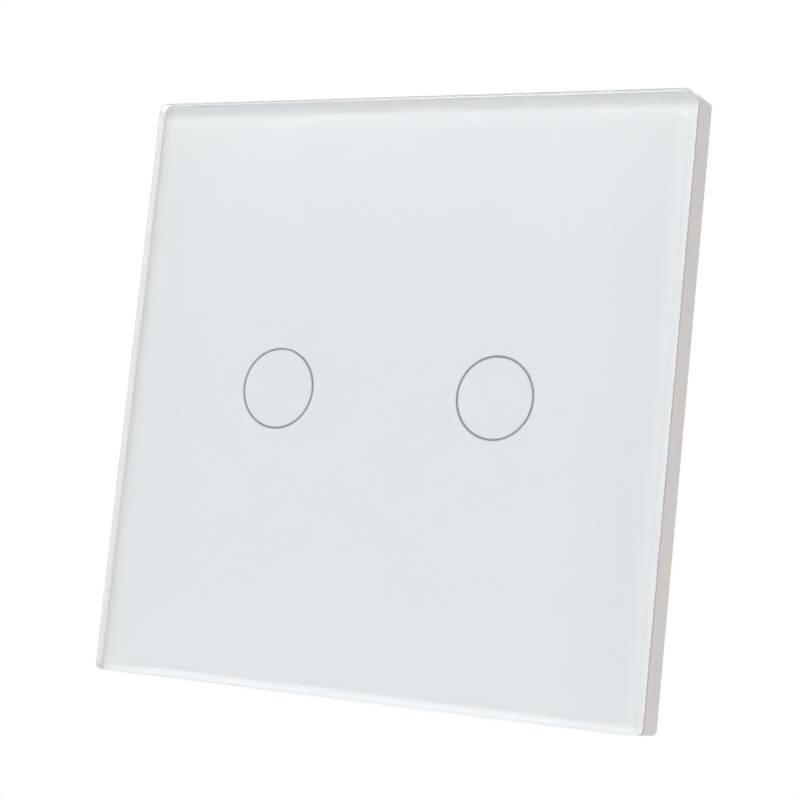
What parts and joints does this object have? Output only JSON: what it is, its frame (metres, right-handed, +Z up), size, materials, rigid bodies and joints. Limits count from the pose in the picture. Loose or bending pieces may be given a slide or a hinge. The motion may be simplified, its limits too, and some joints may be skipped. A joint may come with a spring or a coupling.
{
  "type": "touch light switch",
  "caption": "Square white glass touch switch with ring-shaped touch fields, a pull-off front panel and a flush base with screw terminals for a round wall box.",
  "frame": {"origin": "middle of the wall plane, at the centre of the wall box screws", "axes": "+X right seen from the front, +Y into the wall, +Z up"},
  "size_m": [0.08, 0.0361, 0.08],
  "materials": {
    "clear_glass": "polished, ground edges",
    "white_print": "white paint fired on the back of the glass",
    "grey_print": "grey paint line",
    "foam_tape": "thin acrylic foam",
    "frame_plastic": "fine spark-eroded texture",
    "zinc_steel": "zinc plated",
    "white_plastic": "moulded, fine texture",
    "zinc_screw": "zinc plated",
    "circuit_board": "solder resist",
    "black_plastic": "moulded",
    "spring_steel": "tinned wire",
    "light_guide": "milky",
    "lamp_resin": "clear resin over phosphor",
    "gilt_brass": "gilt",
    "yellow_plastic": "moulded",
    "sleeve_plastic": "shrunk sleeve",
    "blue_lacquer": "dipped lacquer",
    "fuse_lacquer": "dipped lacquer",
    "relay_plastic": "moulded",
    "soft_iron": "nickel plated",
    "bobbin_plastic": "moulded",
    "winding_copper": "enamelled wire",
    "contact_copper": "rolled strip",
    "terminal_brass": "rolled strip"
  },
  "bodies": {
    "base": {"mounting_bracket": "zinc_steel", "module_cover": "white_plastic", "housing_screws": "zinc_screw", "rear_housing": "white_plastic", "touch_board": "circuit_board", "touch_chip": "black_plastic", "touch_spring_left": "spring_steel", "touch_spring_right": "spring_steel", "light_ring_left": "light_guide", "light_ring_right": "light_guide", "indicator_lamps": "lamp_resin", "board_pins": "gilt_brass", "pin_strip": "black_plastic", "board_socket": "black_plastic", "power_board": "circuit_board", "film_capacitor": "yellow_plastic", "smoothing_capacitor": "sleeve_plastic", "varistor": "blue_lacquer", "fuse": "fuse_lacquer", "rectifier": "black_plastic", "relay_case_left": "relay_plastic", "relay_base_left": "black_plastic", "relay_yoke_left": "soft_iron", "relay_core_left": "soft_iron", "relay_bobbin_left": "bobbin_plastic", "relay_winding_left": "winding_copper", "relay_contact_left": "contact_copper", "relay_case_right": "relay_plastic", "relay_base_right": "black_plastic", "relay_yoke_right": "soft_iron", "relay_core_right": "soft_iron", "relay_bobbin_right": "bobbin_plastic", "relay_winding_right": "winding_copper", "relay_contact_right": "contact_copper", "terminal_bars": "terminal_brass"},
    "panel": {"glass_panel": "clear_glass", "back_print": "white_print", "ring_marks": "grey_print", "panel_tape": "foam_tape", "panel_frame": "frame_plastic"},
    "armature_left": {"relay_armature_left": "soft_iron", "relay_blade_left": "contact_copper"},
    "armature_right": {"relay_armature_right": "soft_iron", "relay_blade_right": "contact_copper"},
    "screw_left": {"terminal_screw_left": "zinc_screw"},
    "screw_middle": {"terminal_screw_middle": "zinc_screw"},
    "screw_right": {"terminal_screw_right": "zinc_screw"},
    "cage_left": {"terminal_cage_left": "zinc_steel"},
    "cage_middle": {"terminal_cage_middle": "zinc_steel"},
    "cage_right": {"terminal_cage_right": "zinc_steel"}
  },
  "joints": [
    {"name": "panel_pull", "type": "slide", "parent": "base", "child": "panel", "axis": [0, -1, 0], "range_m": [0, 0.045]},
    {"name": "armature_left_tilt", "type": "hinge", "parent": "base", "child": "armature_left", "pos_m": [-0.011, 0.0077, -0.0041], "axis": [-1, 0, 0], "range_deg": [0, 5], "stiffness_Nm_per_rad": 0.02, "springref_deg": -5.73},
    {"name": "armature_right_tilt", "type": "hinge", "parent": "base", "child": "armature_right", "pos_m": [0.011, 0.0077, -0.0041], "axis": [-1, 0, 0], "range_deg": [0, 5], "stiffness_Nm_per_rad": 0.02, "springref_deg": -5.73},
    {"name": "screw_left_turn", "type": "hinge", "parent": "base", "child": "screw_left", "pos_m": [-0.0095, 0.024, -0.0185], "axis": [0, -1, 0], "range_deg": [0, 1450]},
    {"name": "screw_middle_turn", "type": "hinge", "parent": "base", "child": "screw_middle", "pos_m": [0, 0.024, -0.0185], "axis": [0, -1, 0], "range_deg": [0, 1450]},
    {"name": "screw_right_turn", "type": "hinge", "parent": "base", "child": "screw_right", "pos_m": [0.0095, 0.024, -0.0185], "axis": [0, -1, 0], "range_deg": [0, 1450]},
    {"name": "cage_left_lift", "type": "slide", "parent": "base", "child": "cage_left", "axis": [0, 1, 0], "range_m": [0, 0.002]},
    {"name": "cage_middle_lift", "type": "slide", "parent": "base", "child": "cage_middle", "axis": [0, 1, 0], "range_m": [0, 0.002]},
    {"name": "cage_right_lift", "type": "slide", "parent": "base", "child": "cage_right", "axis": [0, 1, 0], "range_m": [0, 0.002]}
  ],
  "couplings": [
    {"joint": "screw_left_turn", "follows": "cage_left_lift", "rad_per_m": 12566},
    {"joint": "screw_middle_turn", "follows": "cage_middle_lift", "rad_per_m": 12566},
    {"joint": "screw_right_turn", "follows": "cage_right_lift", "rad_per_m": 12566}
  ]
}
